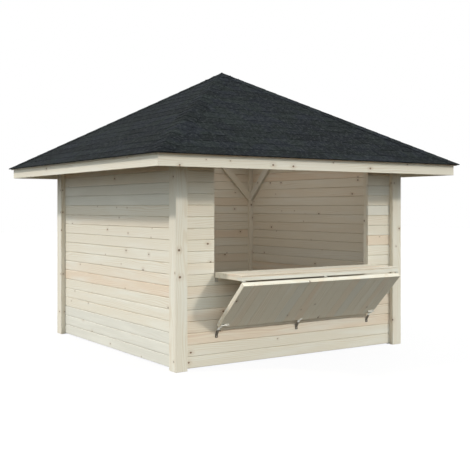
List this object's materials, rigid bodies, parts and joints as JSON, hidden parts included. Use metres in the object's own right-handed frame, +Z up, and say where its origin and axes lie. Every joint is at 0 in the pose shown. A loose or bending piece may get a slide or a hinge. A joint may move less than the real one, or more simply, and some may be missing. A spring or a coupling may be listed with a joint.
{
  "type": "garden kiosk shed",
  "caption": "Square timber garden kiosk with corner posts, board walls, a pyramid shingle roof and a serving hatch that folds into a counter and its prop.",
  "frame": {"origin": "middle of the square plan, on the ground under the posts", "axes": "+Z up, -Y to the front with the serving hatch, +X to the right seen from the front"},
  "size_m": [3.944, 3.944, 3.2202],
  "materials": {
    "timber": "planed natural spruce",
    "wall_boards": "planed natural spruce boards",
    "hatch_boards": "planed natural spruce boards",
    "shingles": "mineral-surfaced bitumen",
    "zinc_steel": "zinc-plated steel"
  },
  "bodies": {
    "shed": {"post_front_left": "timber", "post_front_right": "timber", "post_back_left": "timber", "post_back_right": "timber", "left_wall": "wall_boards", "right_wall": "wall_boards", "back_wall": "wall_boards", "front_wall_left": "wall_boards", "front_wall_right": "wall_boards", "front_wall_below": "wall_boards", "front_wall_above": "wall_boards", "jamb_linings": "timber", "sill": "timber", "plate_front": "timber", "plate_back": "timber", "plate_left": "timber", "plate_right": "timber", "braces": "timber", "hip_rafters": "timber", "mid_rafters": "timber", "king_block": "timber", "deck_front": "wall_boards", "deck_back": "wall_boards", "deck_left": "wall_boards", "deck_right": "wall_boards", "fascia_front": "timber", "fascia_back": "timber", "fascia_left": "timber", "fascia_right": "timber", "shingles_front": "shingles", "shingles_back": "shingles", "shingles_left": "shingles", "shingles_right": "shingles", "sill_hinges": "zinc_steel", "prop_hooks": "zinc_steel"},
    "counter": {"counter_top": "hatch_boards", "counter_rails": "timber", "counter_ledges": "timber", "counter_hinges": "zinc_steel"},
    "flap": {"flap_boards": "hatch_boards", "flap_rails": "timber", "flap_stiles": "timber", "flap_hinges": "zinc_steel", "flap_catches": "zinc_steel", "flap_bolts": "zinc_steel"}
  },
  "joints": [
    {"name": "counter_hinge", "type": "hinge", "parent": "shed", "child": "counter", "pos_m": [0, -1.46, 0.882], "axis": [-1, 0, 0], "range_deg": [0, 90]},
    {"name": "flap_hinge", "type": "hinge", "parent": "counter", "child": "flap", "pos_m": [0, -1.936, 0.882], "axis": [-1, 0, 0], "range_deg": [0, 135]}
  ]
}
